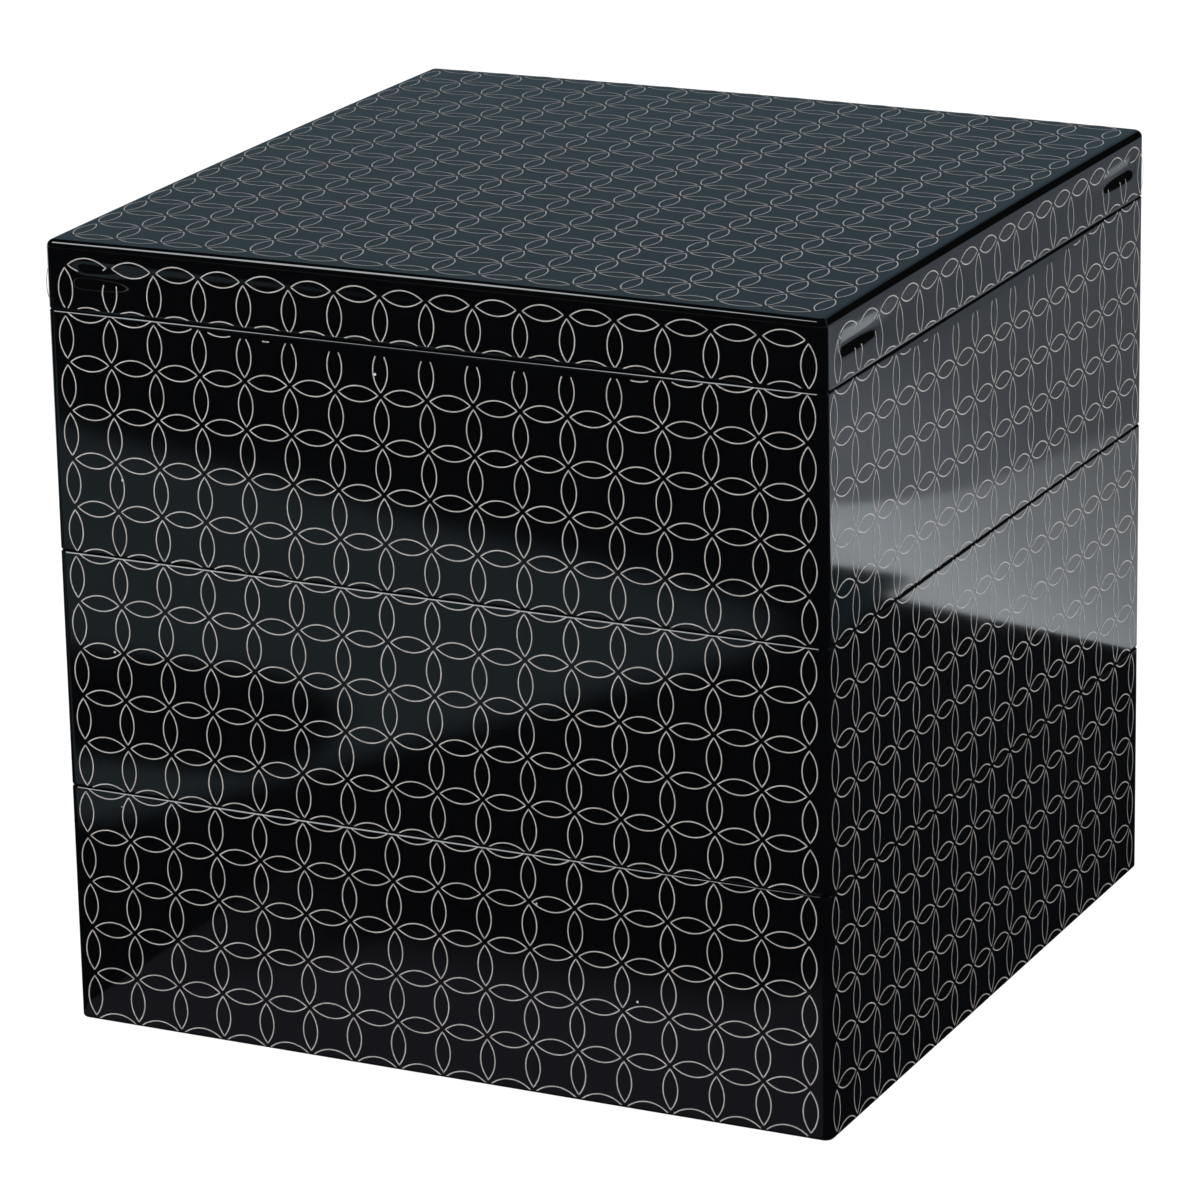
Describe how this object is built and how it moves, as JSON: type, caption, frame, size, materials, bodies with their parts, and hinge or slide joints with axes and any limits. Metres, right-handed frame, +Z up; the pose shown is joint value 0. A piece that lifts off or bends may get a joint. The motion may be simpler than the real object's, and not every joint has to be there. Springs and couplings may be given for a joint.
{
  "type": "tiered food box",
  "caption": "Square lacquered food box of stacked open trays under a flush, slightly crowned lid; each tray sits on the rim of the one below, and all lift straight off.",
  "frame": {"origin": "on the surface that the box stands on, under the middle of the box", "axes": "+Z up through the middle of the box, front face towards -Y, +X to the right"},
  "size_m": [0.195, 0.195, 0.1933],
  "materials": {
    "black_lacquer": "high gloss lacquer, black with a fine pale gold line pattern",
    "red_lacquer": "gloss lacquer, vermilion",
    "bare_wood": "bare wood, hidden in the joints"
  },
  "bodies": {
    "bottom_tier": {"bottom_tier_front_wall": "black_lacquer", "bottom_tier_right_wall": "black_lacquer", "bottom_tier_back_wall": "black_lacquer", "bottom_tier_left_wall": "black_lacquer", "bottom_tier_corner_keys": "bare_wood", "bottom_tier_floor_board": "red_lacquer", "bottom_tier_front_foot_strip": "black_lacquer", "bottom_tier_right_foot_strip": "black_lacquer", "bottom_tier_back_foot_strip": "black_lacquer", "bottom_tier_left_foot_strip": "black_lacquer"},
    "middle_tier": {"middle_tier_front_wall": "black_lacquer", "middle_tier_right_wall": "black_lacquer", "middle_tier_back_wall": "black_lacquer", "middle_tier_left_wall": "black_lacquer", "middle_tier_corner_keys": "bare_wood", "middle_tier_floor_board": "red_lacquer", "middle_tier_front_foot_strip": "black_lacquer", "middle_tier_right_foot_strip": "black_lacquer", "middle_tier_back_foot_strip": "black_lacquer", "middle_tier_left_foot_strip": "black_lacquer"},
    "top_tier": {"top_tier_front_wall": "black_lacquer", "top_tier_right_wall": "black_lacquer", "top_tier_back_wall": "black_lacquer", "top_tier_left_wall": "black_lacquer", "top_tier_corner_keys": "bare_wood", "top_tier_floor_board": "red_lacquer", "top_tier_front_foot_strip": "black_lacquer", "top_tier_right_foot_strip": "black_lacquer", "top_tier_back_foot_strip": "black_lacquer", "top_tier_left_foot_strip": "black_lacquer"},
    "lid": {"lid_top_board": "black_lacquer", "lid_front_rail": "black_lacquer", "lid_right_rail": "black_lacquer", "lid_back_rail": "black_lacquer", "lid_left_rail": "black_lacquer", "lid_front_lip": "black_lacquer", "lid_right_lip": "black_lacquer", "lid_back_lip": "black_lacquer", "lid_left_lip": "black_lacquer", "lid_corner_keys": "bare_wood"}
  },
  "joints": [
    {"name": "middle_tier_lift", "type": "slide", "parent": "bottom_tier", "child": "middle_tier", "axis": [0, 0, 1], "range_m": [0, 0.1]},
    {"name": "top_tier_lift", "type": "slide", "parent": "middle_tier", "child": "top_tier", "axis": [0, 0, 1], "range_m": [0, 0.1]},
    {"name": "lid_lift", "type": "slide", "parent": "top_tier", "child": "lid", "axis": [0, 0, 1], "range_m": [0, 0.1]}
  ]
}
